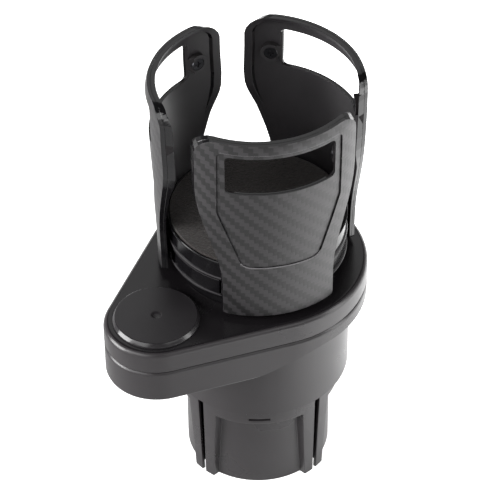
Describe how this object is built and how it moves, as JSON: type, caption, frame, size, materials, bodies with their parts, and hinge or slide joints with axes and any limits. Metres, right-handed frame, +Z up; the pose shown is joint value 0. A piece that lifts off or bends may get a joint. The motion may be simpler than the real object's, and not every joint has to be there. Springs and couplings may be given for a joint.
{
  "type": "car cup holder",
  "caption": "Two-level car cup holder: ribbed plug with cup well, teardrop tray swinging on a pivot, and a turning seat gripped by sprung wings.",
  "frame": {"origin": "on the floor plane, at the centre of the plug's flat underside and on its axis", "axes": "+Z up along the plug's axis; the tray's pivot lies along -X; +Y completes the right-handed frame"},
  "size_m": [0.1271, 0.094, 0.2005],
  "materials": {
    "shell": "satin moulded, fine spark texture",
    "plate": "matte moulded",
    "cap": "satin moulded with a polished bevel",
    "gloss": "high gloss moulded",
    "twill": "woven twill film under a satin lacquer",
    "felt": "short felt",
    "bearing": "smooth turned",
    "steel": "zinc plated",
    "spring": "drawn wire"
  },
  "bodies": {
    "base": {"base_shell": "shell", "plug_sleeve": "shell", "well_mat": "felt", "deck_plate": "plate", "deck_screws": "steel", "pivot_bush": "bearing", "pivot_screw": "steel", "pivot_washer": "steel"},
    "tray": {"tray_shell": "shell", "tray_floor": "plate", "tray_screws": "steel", "pivot_cap": "cap"},
    "seat": {"seat_base": "gloss", "seat_retainer": "plate", "retainer_screws": "steel", "seat_drum": "gloss", "seat_screws": "steel", "seat_plate": "plate", "seat_mat": "felt", "wing_spring_1": "spring", "wing_spring_2": "spring", "wing_spring_3": "spring"},
    "wing_1": {"wing_cover_1": "twill", "wing_frame_1": "gloss", "wing_screws_1": "steel"},
    "wing_2": {"wing_cover_2": "twill", "wing_frame_2": "gloss", "wing_screws_2": "steel"},
    "wing_3": {"wing_cover_3": "twill", "wing_frame_3": "gloss", "wing_screws_3": "steel"}
  },
  "joints": [
    {"name": "tray_swing", "type": "hinge", "parent": "base", "child": "tray", "pos_m": [-0.0581, 0, 0.1015], "axis": [0, 0, 1], "continuous": true},
    {"name": "seat_turn", "type": "hinge", "parent": "tray", "child": "seat", "pos_m": [0, 0, 0.1055], "axis": [0, 0, 1], "continuous": true},
    {"name": "wing_1_pull", "type": "slide", "parent": "seat", "child": "wing_1", "axis": [1, 0, 0], "range_m": [0, 0.01], "stiffness_N_per_m": 300, "springref_m": -0.004, "deforming": ["wing_spring_1"]},
    {"name": "wing_2_pull", "type": "slide", "parent": "seat", "child": "wing_2", "axis": [-0.5, 0.866, 0], "range_m": [0, 0.01], "stiffness_N_per_m": 300, "springref_m": -0.004, "deforming": ["wing_spring_2"]},
    {"name": "wing_3_pull", "type": "slide", "parent": "seat", "child": "wing_3", "axis": [-0.5, -0.866, 0], "range_m": [0, 0.01], "stiffness_N_per_m": 300, "springref_m": -0.004, "deforming": ["wing_spring_3"]}
  ]
}
